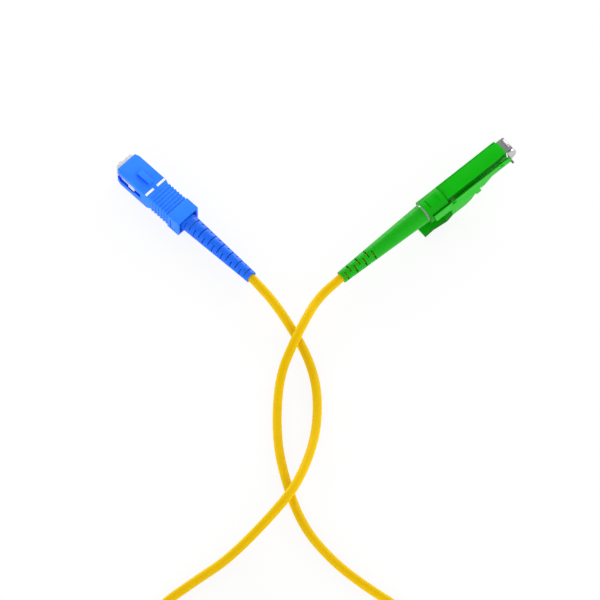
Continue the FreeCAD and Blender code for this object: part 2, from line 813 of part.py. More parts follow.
def make_lever():
    """The lever: two side walls on trunnions, a latch tooth, a web under the housing and a thumb tab."""
    arm_end = back("lsh_body_length") + " + lever_front_gap"
    ramp_end = "(lever_ramp_start + lever_ramp_length)"
    tooth_front = f"({ramp_end} + lever_hook_length)"
    tooth_back = f"({tooth_front} + lever_tooth_length)"
    step_start = f"({tooth_back} + lever_web_length)"
    step_end = f"({step_start} + lever_step_length)"
    heel = "(lsh_body_length - lever_heel_inset)"
    tab_front = f"({heel} + lever_tab_rise)"
    tab_dip = f"({tab_front} + lever_tab_bow)"
    tab_back = f"({tab_dip} + lever_tab_tail)"
    strip_end = f"({lsh_collar_back} + lever_strip_inset)"
    under_edge = [
        (back("lever_front_gap"), "lever_arm_top"),
        (f"{lsh_front} + lever_tip_reach", "-lever_arm_under"),
        (back("lever_ramp_start"), "-lever_arm_under"),
        (back(ramp_end), below("lever_ramp_depth")),
        (back(tooth_front), below("lever_ramp_depth")),
        (back(f"{tooth_front} - lever_hook_cut"), below("lever_hook_depth")),
        (back(tooth_front), below("lever_tooth_depth")),
        (back(tooth_back), below("lever_tooth_depth")),
        (back(tooth_back), below("lever_web_depth")),
        (back(step_start), below("lever_web_low")),
        (back(step_end), below("lever_step_depth")),
        (back(heel), below("lever_step_depth")),
        (back(tab_front), below("lever_tab_front_depth")),
        (back(tab_dip), below("lever_tab_dip_depth")),
        (back(tab_back), below("lever_tab_back_depth")),
    ]
    over_edge = [
        (back(tab_back), below("lever_tab_back_depth") + " + lever_tab_wall"),
        (back(tab_dip), below("lever_tab_dip_depth") + " + lever_tab_wall"),
        (back(tab_front), below("lever_tab_front_depth") + " + lever_tab_wall"),
        (back(heel), below("lever_step_depth") + " + lever_tab_wall"),
        (arm_end, below("lever_step_depth") + " + lever_tab_wall"),
        (arm_end, "-lever_strip_under"),
        (f"{strip_end} + lever_strip_slant", "-lever_strip_under"),
        (strip_end, "lever_arm_top"),
    ]
    blank = padded("lever_blank", "XZ_Plane", under_edge + over_edge, f"2 * {arm_out}")
    web_top = "-lsh_body_under - lever_web_clear"
    heel_top = "-lsh_body_under - lever_heel_clear"
    open_front = back(tooth_front) + " + lever_side_gap"
    open_tip = f"{lsh_front} + 2 * lever_tip_reach"
    channel = padded(
        "lever_channel",
        "XZ_Plane",
        [
            (open_tip, "2 * lever_arm_top"),
            (open_tip, below("2 * lever_tooth_depth")),
            (open_front, below("2 * lever_tooth_depth")),
            (open_front, web_top),
            (back(step_end), web_top),
            (back(step_end), heel_top),
            (lsh_collar_back, heel_top),
            (lsh_collar_back, "2 * lever_arm_top"),
        ],
        f"2 * {arm_in}",
    )
    pivot_radius = "lsh_trunnion_radius + lsh_trunnion_gap"
    pivots = rod_y("lever_pivots", pivot_radius, f"-{arm_out}", arm_out, trunnion_x, "0")
    barb = f"({lsh_collar_back} + lsh_barb_back)"
    window = both_sides(
        "lever_window",
        (f"{barb} - lever_window_gap", f"{barb} + barb_length + lever_window_gap"),
        (arm_in, arm_out),
        ("-barb_height / 2 - lever_window_gap", "barb_height / 2 + lever_window_gap"),
    )
    return keep(cut("lever_open", blank, [channel, pivots] + window), "lsh_lever", "lsh")


# Shuttered plug: the shutter at its front

hinge_x = f"({lsh_front} + hinge_lead)"
ear_out = "(lsh_body_width / 2 - lsh_taper_in)"
ear_in = f"({ear_out} - bracket_ear)"
barrel_end = f"({ear_in} - hinge_end_gap)"
cheek_in = f"({ear_out} + cheek_gap)"
cheek_out = f"({cheek_in} + cheek_wall)"
visor_x = f"({lsh_front} + visor_lead)"


def make_shutter_bracket():
    """The metal bracket across the housing's front, with two ears that carry the hinge pin."""
    plate = box(
        "bracket_plate",
        (lsh_front, f"{lsh_front} + bracket_length"),
        (f"-{ear_out}", ear_out),
        ("bracket_under", "lsh_body_top"),
    )
    ears = both_sides(
        "bracket_ear",
        (lsh_front, f"{lsh_front} + bracket_length + bracket_ear_length"),
        (ear_in, ear_out),
        ("bracket_under", "lsh_body_top - bracket_ear_drop"),
    )
    eye_radius = "hinge_pin_radius + ferrule_seat_gap"
    eyes = rod_y("bracket_eyes", eye_radius, f"-{ear_out}", ear_out, hinge_x, "hinge_up")
    whole = joined("bracket_whole", [plate] + ears)
    return keep(cut("bracket_drilled", whole, [eyes]), "lsh_shutter_bracket", "lsh")


def make_shutter_pin():
    """The hinge pin between the bracket's ears."""
    pin = rod_y("hinge_pin", "hinge_pin_radius", f"-{ear_out}", ear_out, hinge_x, "hinge_up")
    return keep(wrapped("hinge_pin_whole", [pin]), "lsh_shutter_pin", "lsh")


def make_shutter():
    """The shutter: a hinge barrel, a curved visor over the ferrule and a round cheek each side."""
    low = f"-{cheek_out}"
    outer = rod_y("visor_outer", "visor_radius", low, cheek_out, visor_x, "visor_up")
    inner = rod_y("visor_inner", "visor_radius - visor_wall", low, cheek_out, visor_x, "visor_up")
    rind = cut("visor_rind", outer, [inner])
    spring_room = f"({barrel_end} - coil_spring_length - hinge_end_gap)"
    wide = box(
        "visor_wide",
        (hinge_x, f"{visor_x} + visor_radius"),
        (f"-{cheek_out}", cheek_out),
        ("visor_up - visor_under", "visor_top"),
    )
    tongue = box(
        "visor_tongue",
        (hinge_x, f"{visor_x} + visor_radius"),
        (f"-{spring_room}", barrel_end),
        ("visor_up", "hinge_up + hinge_pin_radius"),
    )
    visor = common("visor", rind, joined("visor_window", [wide, tongue]))
    cheek_disc = rod_y("cheek_disc", "visor_radius", f"-{cheek_out}", cheek_out, visor_x, "visor_up")
    cheek_sides = both_sides(
        "cheek_side",
        (f"{lsh_front} + visor_back", f"{visor_x} + visor_radius"),
        (cheek_in, cheek_out),
        ("visor_up - visor_radius", "visor_up + visor_radius"),
    )
    cheeks = common("cheeks", cheek_disc, joined("cheek_sides", cheek_sides))
    barrel = rod_y("barrel", "barrel_radius", f"-{spring_room}", barrel_end, hinge_x, "hinge_up")
    strap = box(
        "visor_strap",
        (hinge_x, f"{hinge_x} + barrel_radius"),
        (f"-{spring_room}", barrel_end),
        ("visor_top - barrel_radius", "hinge_up"),
    )
    solid = joined("shutter_solid", [visor, cheeks, barrel, strap])
    bore_radius = "hinge_pin_radius + hinge_pin_gap"
    bore = rod_y("barrel_bore", bore_radius, f"-{barrel_end}", barrel_end, hinge_x, "hinge_up")
    cam_holes = rod_y("cam_holes", "cam_radius + ferrule_seat_gap", low, cheek_out, visor_x, "-cam_drop")
    return keep(cut("shutter_bored", solid, [bore, cam_holes]), "lsh_shutter", "lsh")


def make_cam_pins():
    """The two cam pins on the shutter's cheeks, which a socket pushes to open it."""
    tip = f"({cheek_out} + cam_reach)"
    pins = [
        rod_y("cam_left", "cam_radius", cheek_in, tip, visor_x, "-cam_drop"),
        rod_y("cam_right", "cam_radius", f"-{tip}", f"-{cheek_in}", visor_x, "-cam_drop"),
    ]
    return keep(wrapped("cam_pins", pins), "lsh_cam_pins", "lsh")


def make_shutter_spring():
    """The small torsion spring wound on the hinge pin beside the barrel."""
    run = "(coil_spring_length - 2 * coil_spring_wire)"
    ring = "(hinge_pin_radius + hinge_pin_gap + coil_spring_wire)"
    wind = made(
        "Part::Helix",
        "hinge_spring_line",
        {"Radius": ring, "Pitch": f"{run} / coil_spring_turns", "Height": run},
    )
    wire = made("Part::RegularPolygon", "hinge_spring_wire", {"Circumradius": "coil_spring_wire"})
    wire.Polygon = WIRE_SIDES
    wire.Placement.Rotation = FreeCAD.Rotation(FreeCAD.Vector(1, 0, 0), 90)
    place(wire, ring, "0", "0")
    coil = doc.addObject("Part::Sweep", "hinge_spring_coil")
    coil.Sections = [wire]
    coil.Spine = (wind, [])
    coil.Solid = True
    coil.Frenet = True
    coil.Placement.Rotation = ALONG_Y
    place(coil, hinge_x, f"-{barrel_end} + coil_spring_wire", "hinge_up")
    return keep(wrapped("hinge_spring", [coil]), "lsh_shutter_spring", "lsh")


# Build both plugs

sc_turns = ((90, 270), (0, 180))
lsh_up = 90 + size("lsh_slot_roll")
lsh_turns = ((lsh_up, lsh_up + 180), (lsh_up - 90, lsh_up + 90))

make_sleeve()
make_depth_marks()
make_plug_frame()
make_ferrule("sc", sc_tip, sc_seat, False)
make_flange("sc", sc_seat)
make_spring("sc", sc_seat)
sc_barb_tip = "sc_frame_width / 2 - barb_gap"
make_back_body("sc", sc_boot_end, "sc_stop_rim", "sc_stop_rim_radius", sc_seat, "sc_barb_back", sc_barb_tip)
make_crimp_ring("sc", sc_boot_end)
make_fibre("sc", sc_boot_end, sc_seat)
sc_boot_front = [
    ("sc_boot_length - sc_boot_straight", "sc_boot_front_radius"),
    ("sc_boot_length + sc_boot_inside", "sc_boot_front_radius"),
    ("sc_boot_length + sc_boot_inside", "sc_boot_neck_radius"),
    (sc_boot_end, "sc_boot_neck_radius"),
]
sc_slots = boot_slots("sc", SC_SLOTS, "sc_boot_front_radius", sc_turns)
make_boot("sc", sc_boot_end, sc_boot_front, "sc_boot_tail_radius", sc_slots)

make_housing()
make_lever()
make_shutter_bracket()
make_shutter_pin()
make_shutter()
make_cam_pins()
make_shutter_spring()
make_ferrule("lsh", lsh_tip, lsh_seat, True)
make_flange("lsh", lsh_seat)
make_spring("lsh", lsh_seat)
lsh_barb_tip = f"({arm_in} - lever_side_gap - seat_gap)"
make_back_body("lsh", lsh_boot_end, "lsh_rim", "lsh_rim_radius", lsh_seat, "lsh_barb_back", lsh_barb_tip)
make_crimp_ring("lsh", lsh_boot_end)
make_fibre("lsh", lsh_boot_end, lsh_seat)
lsh_slots = boot_slots("lsh", LSH_SLOTS, "lsh_boot_front_radius", lsh_turns)
lsh_boot_front = [(lsh_boot_end, "lsh_boot_front_radius")]
make_boot("lsh", lsh_boot_end, lsh_boot_front, "lsh_boot_tail_radius", lsh_slots)


# Lay the plugs on the floor: the square one flat with its key up, the shuttered one on its thumb tab

tab_reach = "lsh_body_length - lever_heel_inset + lever_tab_rise + lever_tab_bow + lever_tab_tail"
tab_end = f"({lsh_front} - ({tab_reach}))"
lsh_tail_z = (
    "(lever_arm_under + lever_tab_back_depth) * cos(lsh_pitch * 1 deg)"
    f" - {tab_end} * sin(lsh_pitch * 1 deg)"
)
POSES = {
    "sc": "placement(vector(sc_tail_x; sc_tail_y; sc_sleeve_height / 2); rotation(sc_yaw; 0; 0))",
    "lsh": f"placement(vector(lsh_tail_x; lsh_tail_y; {lsh_tail_z}); rotation(lsh_yaw; -lsh_pitch; 0))",
}
for piece, plug in PIECES.values():
    piece.setExpression("Placement", tied(POSES[plug]))
doc.recompute()


# Cable: two strands between the boots and a put-away coil

SC_ROUTE = [
    (0.18, -53.93, 1.5),
    (0.18, -74.72, 1.5),
    (-4.92, -94.58, 5.3),
    (-11.92, -106.33, 5.3),
    (-27.62, -123.02, 1.5),
    (-38.22, -131.82, 1.5),
    (-52.62, -142.62, 1.5),
    (-57.62, -159.92, 1.5),
    (-50.82, -177.42, 2.0),
    (-35.22, -187.42, 3.0),
    (-18.12, -187.42, 3.4),
]
LSH_ROUTE = [
    (-4.02, -38.43, 5.9),
    (-8.12, -47.93, 5.9),
    (-11.92, -56.93, 2.3),
    (-13.42, -72.93, 1.5),
    (-12.02, -88.93, 1.5),
    (-5.22, -110.63, 1.5),
    (4.08, -124.13, 1.5),
    (14.88, -133.82, 1.5),
    (28.78, -143.52, 1.5),
    (33.78, -159.82, 1.5),
    (27.18, -176.42, 2.0),
    (13.38, -184.92, 4.0),
    (-3.12, -187.42, 6.0),
    (-18.12, -187.42, 6.4),
]
START_DEPTHS = {"sc": 3.0, "lsh": 1.0}
FIRST_BENDS = {"sc": 14.1, "lsh": 10.2}
JACKET_SHORT = 0.4
BEND_SHARE = 0.45


def rounded_line(points):
    """Straight runs joined by tangent arcs, as edges, with the radii of the arcs."""
    edges = []
    radii = []
    here = points[0]
    for before, corner, after in zip(points, points[1:], points[2:]):
        into = (corner - before).normalize()
        out = (after - corner).normalize()
        turn = into.getAngle(out)
        reach = BEND_SHARE * min((corner - before).Length, (after - corner).Length)
        radius = reach / math.tan(turn / 2)
        arc_start = corner - into * reach
        arc_end = corner + out * reach
        inward = (out - into).normalize()
        arc_middle = corner + inward * (radius / math.cos(turn / 2) - radius)
        edges.append(Part.LineSegment(here, arc_start).toShape())
        edges.append(Part.Arc(arc_start, arc_middle, arc_end).toShape())
        radii.append(radius)
        here = arc_end
    edges.append(Part.LineSegment(here, points[-1]).toShape())
    return edges, radii


def make_strand(label, plug, boot_end, route):
    """A strand of cable from the crimp ring of one plug, out of its boot and along its route."""
    pose = PIECES[f"{plug}_boot"][0].Placement
    jacket_end = boot_end - size("neck_length") - size("crimp_gap") - JACKET_SHORT
    on_axis = (START_DEPTHS[plug], -FIRST_BENDS[plug])
    points = [pose.multVec(FreeCAD.Vector(along, 0, 0)) for along in on_axis]
    points += [FreeCAD.Vector(*point) for point in route]
    edges, radii = rounded_line(points)
    inside = Part.LineSegment(pose.multVec(FreeCAD.Vector(jacket_end, 0, 0)), points[0]).toShape()
    line = Part.Wire([inside] + edges)
    heading = points[0] - points[1]
    profile = Part.Wire(Part.makeCircle(size("cable_radius"), line.OrderedVertexes[0].Point, heading))
    tube = line.makePipeShell([profile], True, False)
    strand = doc.addObject("Part::Feature", label)
    strand.Shape = tube
    straight = math.pi * size("cable_radius") ** 2 * line.Length
    print(label, "first points", [[round(value, 2) for value in point] for point in points[:2]])
    print(label, "length", round(line.Length, 1), "volume share", round(tube.Volume / straight, 4))
    print(label, "radii", [round(radius, 1) for radius in radii])
    PIECES[label] = (strand, None)


make_strand("cable_strand_sc", "sc", size("sc_boot_length") + size("sc_boot_socket"), SC_ROUTE)
make_strand("cable_strand_lsh", "lsh", size("lsh_boot_length"), LSH_ROUTE)

tie_inside = "coil_bundle + tie_gap"
coil_z = f"{tie_inside} + tie_wall"
bundle = made("Part::Torus", "coil_bundle_ring", {"Radius1": "coil_radius", "Radius2": "coil_bundle"})
place(bundle, "coil_x", "coil_y", coil_z)
keep(bundle, "cable_coil", None)

tie_outer, tie_inner = [
    made("Part::Torus", name, {"Radius1": "coil_radius", "Radius2": radius, "Angle3": "tie_angle"})
    for name, radius in (("tie_outer", coil_z), ("tie_inner", tie_inside))
]
tie = cut("tie_band", tie_outer, [tie_inner])
tie.Placement.Rotation = FreeCAD.Rotation(FreeCAD.Vector(0, 0, 1), 90 - size("tie_angle") / 2)
place(tie, "coil_x", "coil_y", coil_z)
keep(tie, "coil_tie", None)
doc.recompute()

# Check every object, then write each piece

for thing in doc.Objects:
    if "Invalid" in thing.State or "Error" in thing.State:
        raise SystemExit(f"{thing.Name} did not build: {thing.State}")
for label, (piece, plug) in PIECES.items():
    shape = piece.Shape
    if shape.isNull() or not shape.isValid() or not shape.Solids:
        raise SystemExit(f"{label} has no good solid")

os.makedirs("parts", exist_ok=True)
for label, (piece, plug) in PIECES.items():
    piece.Shape.exportStep(f"parts/{label}.step")
    bounds = piece.Shape.BoundBox
    print(
        f"{label:22s} x {bounds.XMin:8.2f} {bounds.XMax:8.2f} y {bounds.YMin:8.2f} {bounds.YMax:8.2f}",
        f"z {bounds.ZMin:7.2f} {bounds.ZMax:7.2f} volume {piece.Shape.Volume:9.2f}",
        f"solids {len(piece.Shape.Solids)}",
    )
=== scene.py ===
import math

import bpy
from mathutils import Euler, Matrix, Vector


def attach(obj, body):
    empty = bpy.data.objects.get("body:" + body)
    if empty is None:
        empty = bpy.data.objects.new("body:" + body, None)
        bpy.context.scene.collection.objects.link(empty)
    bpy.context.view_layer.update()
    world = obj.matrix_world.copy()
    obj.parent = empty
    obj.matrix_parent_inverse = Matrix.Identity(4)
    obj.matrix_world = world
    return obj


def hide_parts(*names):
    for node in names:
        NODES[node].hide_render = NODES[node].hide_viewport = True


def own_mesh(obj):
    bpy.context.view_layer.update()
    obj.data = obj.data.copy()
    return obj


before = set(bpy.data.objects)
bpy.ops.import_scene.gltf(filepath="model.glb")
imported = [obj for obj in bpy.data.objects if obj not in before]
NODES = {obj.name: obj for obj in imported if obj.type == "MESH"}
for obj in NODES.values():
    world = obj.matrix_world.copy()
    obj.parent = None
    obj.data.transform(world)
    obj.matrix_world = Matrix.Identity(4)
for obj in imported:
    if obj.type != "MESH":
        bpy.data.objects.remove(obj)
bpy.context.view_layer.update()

# Sizes and places, in metres

CABLE_RADIUS = 0.0015
BLUE_BOOT_TAIL = Vector((-0.021056, -0.022141, 0.0037))
GREEN_BOOT_TAIL = Vector((0.008109, -0.022778, 0.00479))
COIL_MIDDLE = Vector((-0.018119, -0.168723, 0.0))
OUTER_TURN = 0.0187
INNER_TURN = 0.0157
LOWER_LAYER = 0.00345
UPPER_LAYER = 0.00645

# The coil's points in a turn, and the part of a turn that steps over to the next

POINTS_A_TURN = 16
LAST_PART = 0.25

# The cable's route from each plug to the coil; its first points lie in the boot, where it is slimmer

POINTS_IN_A_BOOT = 2
SLIM = 0.76
BLUE_ROUTE = [
    (-0.0373, -0.0059, 0.0037),
    (-0.0232, -0.0200, 0.0037),
    (-0.0211, -0.0221, 0.0037),
    (-0.0121, -0.0330, 0.0035),
    (-0.0003, -0.0544, 0.0015),
    (0.0007, -0.0756, 0.0015),
    (-0.0045, -0.0951, 0.0053),
    (-0.0118, -0.1066, 0.0053),
    (-0.0277, -0.1231, 0.0015),
    (-0.0387, -0.1312, 0.0015),
    (-0.0528, -0.1424, 0.0015),
    (-0.0576, -0.1599, 0.0015),
    (-0.0508, -0.1774, 0.0020),
    (-0.0352, -0.1874, 0.0030),
]
GREEN_ROUTE = [
    (0.0235, -0.0102, 0.0069),
    (0.0104, -0.0209, 0.0051),
    (0.0081, -0.0228, 0.0048),
    (0.0008, -0.0295, 0.0038),
    (-0.0036, -0.0387, 0.0059),
    (-0.0077, -0.0481, 0.0059),
    (-0.0117, -0.0570, 0.0023),
    (-0.0130, -0.0729, 0.0015),
    (-0.0117, -0.0889, 0.0015),
    (-0.0053, -0.1104, 0.0015),
    (0.0045, -0.1236, 0.0015),
    (0.0154, -0.1332, 0.0015),
    (0.0293, -0.1429, 0.0015),
    (0.0339, -0.1597, 0.0015),
    (0.0272, -0.1764, 0.0020),
    (0.0134, -0.1849, 0.0040),
    (-0.0031, -0.1874, 0.0060),
]


# Shader sums and nodes


class Value:
    """One output of a material's nodes, which takes part in sums."""

    def __init__(self, finish, output):
        self.finish = finish
        self.output = output

    def sum(self, operation, first, second):
        return self.finish.node("Math", {"operation": operation}, {0: first, 1: second})

    def __add__(self, other):
        return self.sum("ADD", self, other)

    def __radd__(self, other):
        return self.sum("ADD", other, self)

    def __sub__(self, other):
        return self.sum("SUBTRACT", self, other)

    def __rsub__(self, other):
        return self.sum("SUBTRACT", other, self)

    def __mul__(self, other):
        return self.sum("MULTIPLY", self, other)

    def __rmul__(self, other):
        return self.sum("MULTIPLY", other, self)

    def __pow__(self, other):
        return self.sum("POWER", self, other)

    def __abs__(self):
        return self.sum("ABSOLUTE", self, 0.0)

    def or_more(self, other):
        return self.sum("MAXIMUM", self, other)


class Finish:
    """A material being made: a tree of nodes with one method that adds any node."""

    def __init__(self, name, owner=None):
        self.material = owner or bpy.data.materials.new(name)
        self.material.use_nodes = True
        self.tree = self.material.node_tree
        self.shader = self.tree.nodes.get("Principled BSDF")

    def feed(self, socket, value):
        """Link a value to a socket, or set the socket."""
        if isinstance(value, Value):
            self.tree.links.new(value.output, socket)
        else:
            socket.default_value = value

    def node(self, kind, settings=None, inputs=None, output=0):
        """Add a node: its settings first, then the values or links of its sockets."""
        made = self.tree.nodes.new("ShaderNode" + kind)
        for name, setting in (settings or {}).items():
            setattr(made, name, setting)
        for name, value in (inputs or {}).items():
            self.feed(made.inputs[name], value)
        return Value(self, made.outputs[output])

    def coat(self, **inputs):
        """Set or link the shader's own sockets, named with underscores for spaces."""
        for name, value in inputs.items():
            self.feed(self.shader.inputs[name.replace("_", " ")], value)
        return self

    def place(self):
        """Object coordinates."""
        return self.node("TexCoord", output="Object")

    def noise(self, scale, detail=3.0, rough=0.5, at=None):
        """A noise from 0 to 1; scale is in cells a metre."""
        inputs = {"Vector": at or self.place(), "Scale": scale, "Detail": detail, "Roughness": rough}
        return self.node("TexNoise", None, inputs)

    def mix(self, share, first, second):
        """A colour between two colours."""
        inputs = {"Factor": share, 6: first, 7: second}
        return self.node("Mix", {"data_type": "RGBA"}, inputs, output=2)

    def ramp(self, value, low, high):
        """A value stretched so that low becomes 0 and high becomes 1, and kept between them."""
        inputs = {"Value": value, "From Min": low, "From Max": high}
        return self.node("MapRange", {"clamp": True}, inputs)

    def bump(self, height, depth):
        """A normal from a height; depth is in metres."""
        return self.node("Bump", None, {"Strength": 1.0, "Distance": depth, "Height": height})


def colour(red, green, blue):
    """A colour written as on a screen, from 0 to 255, made linear for the shader."""
    parts = []
    for value in (red, green, blue):
        share = value / 255
        if share <= 0.04045:
            parts.append(share / 12.92)
        else:
            parts.append(((share + 0.055) / 1.055) ** 2.4)
    return (*parts, 1.0)


# Finishes: how strongly each mirrors, how rough it is, its grain in metres, and the colours of painted shade
# and painted light in grooves and hollows

PLASTIC_IOR = 1.2
BOOT_IOR = 1.28
JACKET_IOR = 1.15
CERAMIC_IOR = 1.9
GLOSSY_ROUGH = 0.42
PALE_ROUGH = 0.4
MARK_ROUGH = 0.5
SMOOTH_GRAIN = 0.0000015
BOOT_GRAIN = 0.000001
PALE_GRAIN = 0.00001
STEEL_GRAIN = 0.000004
WEAVE_DEPTH = 0.0002
# Colours of painted shade for the plugs' grooves and walls, and a paler green painted as light low in the
# green plug's groove
BLUE_PAINTED_SHADE = colour(0, 54, 240)
PAINTED_GROOVE_SHADE = colour(3, 84, 2)
PAINTED_GROOVE_LIGHT = colour(36, 220, 34)
PAINTED_TAB_SHADE = colour(1, 60, 1)

# Places on the plugs where the painted shade and painted light fall, from the middle of each boot's tail:
# along, across and up.
# A pair gives the two ends of a fade.

FADE = 0.0001
BEVEL = 0.00012
BLUE_TURN = (0.0, 0.0, math.radians(135.03))
GREEN_TURN = (0.0, math.radians(-6.0), math.radians(39.3))
BLUE_TOP = 0.0037
BLUE_SIDE = 0.0045
KEY_MIDDLE = 0.0487
KEY_REACH = 0.0027
KEY_HALF = 0.001
KEY_TOP = 0.0047
KEY_TAIL = KEY_MIDDLE - KEY_REACH
KEY_NOSE = KEY_MIDDLE + KEY_REACH
FOOT_REACH = 0.0016
WINDOW_BACK = 0.0463
WINDOW_HALF = 0.0019
SIDE_GROOVE_TAIL = 0.0309
SIDE_GROOVE_NOSE = 0.0329
SIDE_GROOVE_HALF = 0.003
GREEN_SEAM = 0.04265
GREEN_TOP = 0.0032
GREEN_SIDE = 0.0024
GREEN_GROOVE = (0.0002, 0.0012)
PALE_REACH = 0.003
SEAM_FADE = (0.00012, 0.00035)
COLLAR_FLANK = (0.0008, 0.0038)
COLLAR_FLAT = 0.03645
FLAT_LENGTH = 0.0007
FLAT_SIDE = (0.0014, 0.0019)
FLAT_HEIGHT = (0.0034, 0.0036)
LEVER_TOP = 0.0013
LEVER_INSIDE = 0.0034
LEVER_OUTSIDE = 0.0039
NEAR_WALL = (0.001, 0.002)
PALE_WALL = (-0.0022, -0.0012)
TAB_FRONT = (0.0428, 0.0432)
TAB_TOP = (-0.0044, -0.0038)


def plug_place(finish, tail, turn):
    """How far along, across and up a plug a point is."""
    inputs = {"Vector": finish.place(), "Location": tail, "Rotation": turn}
    at = finish.node("Mapping", {"vector_type": "TEXTURE"}, inputs)
    return [finish.node("SeparateXYZ", None, {"Vector": at}, output=axis) for axis in "XYZ"]


def blue_painted_shade(finish):
    """Painted shade in deep blue on the key's walls, in the window and the side groove, and less at the
    key's foot.
    """
    along, across, up = plug_place(finish, BLUE_BOOT_TAIL, BLUE_TURN)
    aside = abs(across)
    over_top = finish.ramp(up, BLUE_TOP + 0.3 * FADE, BLUE_TOP + FADE)
    key_walls = over_top * (1.0 - finish.ramp(up, KEY_TOP - BEVEL, KEY_TOP - 0.3 * BEVEL))
    key_walls = key_walls * finish.ramp(along, KEY_TAIL + FADE, KEY_TAIL + 3.0 * FADE)
    off_side = (aside - KEY_HALF).or_more(0.0)
    off_end = (abs(along - KEY_MIDDLE) - KEY_REACH).or_more(0.0)
    off_key = (off_side ** 2.0 + off_end ** 2.0) ** 0.5
    foot = finish.ramp(up, BLUE_TOP - 2.0 * FADE, BLUE_TOP) * (1.0 - over_top)
    foot = foot * finish.ramp(along, KEY_TAIL, KEY_NOSE) * finish.ramp(across, -KEY_HALF, KEY_HALF)
    foot = foot * (1.0 - finish.ramp(off_key, 0.0, FOOT_REACH)) ** 2.0
    sunk = 1.0 - finish.ramp(aside, BLUE_SIDE - 1.2 * BEVEL, BLUE_SIDE - 0.5 * BEVEL)
    window = sunk * finish.ramp(along, WINDOW_BACK - 2.0 * FADE, WINDOW_BACK)
    window = window * (1.0 - finish.ramp(abs(up), WINDOW_HALF, WINDOW_HALF + FADE))
    groove = sunk * finish.ramp(along, SIDE_GROOVE_TAIL, SIDE_GROOVE_TAIL + FADE)
    groove = groove * (1.0 - finish.ramp(along, SIDE_GROOVE_NOSE - FADE, SIDE_GROOVE_NOSE))
    groove = groove * (1.0 - finish.ramp(abs(up), SIDE_GROOVE_HALF - FADE, SIDE_GROOVE_HALF))
    # Painted shade: full on the key's walls, in the window and the side groove, half at the key's foot
    shade = key_walls.or_more(0.5 * foot).or_more(window).or_more(groove)
    return [(0.9 * shade, BLUE_PAINTED_SHADE)]


def green_painted_shade_and_light(finish):
    """Painted shade on the green body's sides behind the lever's walls, at its seam and on its collar, and
    painted light on the lower part of those sides.
    """
    along, across, up = plug_place(finish, GREEN_BOOT_TAIL, GREEN_TURN)
    aside = abs(across)
    on_body = finish.ramp(along, GREEN_SEAM - 2.0 * FADE, GREEN_SEAM)
    sides = on_body * finish.ramp(aside, GREEN_SIDE - 2.0 * FADE, GREEN_SIDE)
    under_edge = 1.0 - finish.ramp(up, GREEN_TOP - 3.0 * FADE, GREEN_TOP - 1.5 * FADE)
    high = finish.ramp(up, *GREEN_GROOVE)
    groove = sides * under_edge * high
    depth = sides * (1.0 - high) * (1.0 - finish.ramp(aside, PALE_REACH, PALE_REACH + 2.0 * FADE))
    seam = 1.0 - finish.ramp(abs(along - GREEN_SEAM), *SEAM_FADE)
    flanks = (1.0 - on_body) * finish.ramp(aside, *COLLAR_FLANK)
    flat_end = finish.ramp(along, COLLAR_FLAT - FADE, COLLAR_FLAT)
    flat_end = flat_end * (1.0 - finish.ramp(along, COLLAR_FLAT, COLLAR_FLAT + FLAT_LENGTH))
    flat_end = flat_end * (1.0 - finish.ramp(aside, *FLAT_SIDE)) * finish.ramp(up, *FLAT_HEIGHT)
    # Painted shade in the groove, at the seam, on the collar's flanks and at the flat's back edge; painted
    # light low on the body's sides
    shade = (0.8 * groove).or_more(0.65 * seam).or_more(0.45 * flanks).or_more(0.75 * flat_end)
    return [(shade, PAINTED_GROOVE_SHADE), (depth, PAINTED_GROOVE_LIGHT)]


def lever_painted_shade_and_light(finish):
    """Painted shade on the upper edge of the lever's near wall and on the thumb tab and its edges, and
    painted light on the inner faces of its walls.
    """
    along, across, up = plug_place(finish, GREEN_BOOT_TAIL, GREEN_TURN)
    aside = abs(across)
    rim = finish.ramp(up, LEVER_TOP - BEVEL, LEVER_TOP - 0.3 * BEVEL)
    rim = rim * finish.ramp(0.0 - across, *NEAR_WALL)
    before_tab = finish.ramp(along, *TAB_FRONT)
    tab = (1.0 - before_tab) * (1.0 - finish.ramp(up, *TAB_TOP))
    tab_edge = tab * finish.ramp(aside, LEVER_OUTSIDE - BEVEL, LEVER_OUTSIDE - 0.3 * BEVEL)
    inner = before_tab * (1.0 - finish.ramp(aside, LEVER_INSIDE, LEVER_INSIDE + FADE))
    inner = inner * finish.ramp(up, *PALE_WALL)
    # Painted shade on the near wall's top edge, the thumb tab and its edge; painted light on the walls'
    # inner faces
    shade = (0.5 * rim).or_more(0.3 * tab).or_more(0.85 * tab_edge)
    return [(shade, PAINTED_TAB_SHADE), (inner, PAINTED_GROOVE_LIGHT)]


def moulded_plastic(name, face, shade, rough, grain, painted_light=None):
    """Hard moulded plastic: a faint flow in its colour, a fine grain, and, where given, painted shade and
    painted light in its grooves and hollows.
    """
    finish = Finish(name)
    flow = finish.ramp(finish.noise(260.0, 2.0), 0.3, 0.7)
    fine = finish.noise(9000.0, 2.0, 0.6)
    soil = finish.noise(1400.0, 4.0)
    tint = finish.mix(flow, face, shade)
    # Painted shade and painted light, each mixed into the colour where its mask falls
    for share, deep in painted_light(finish) if painted_light else []:
        tint = finish.mix(share, tint, deep)
    finish.coat(Base_Color=tint, Roughness=rough + 0.12 * (soil - 0.5), IOR=PLASTIC_IOR)
    finish.coat(Normal=finish.bump(fine + 0.4 * soil, grain))
    return finish.material


def rubber(name, face, shade):
    """Soft boot rubber: satin, with a faint mould grain and a dusty bloom."""
    finish = Finish(name)
    bloom = finish.ramp(finish.noise(900.0, 5.0, 0.6), 0.35, 0.75)
    fine = finish.noise(7000.0, 2.0)
    finish.coat(Base_Color=finish.mix(bloom, face, shade), Roughness=0.43 - 0.06 * bloom, IOR=BOOT_IOR)
    finish.coat(Normal=finish.bump(fine, BOOT_GRAIN))
    return finish.material


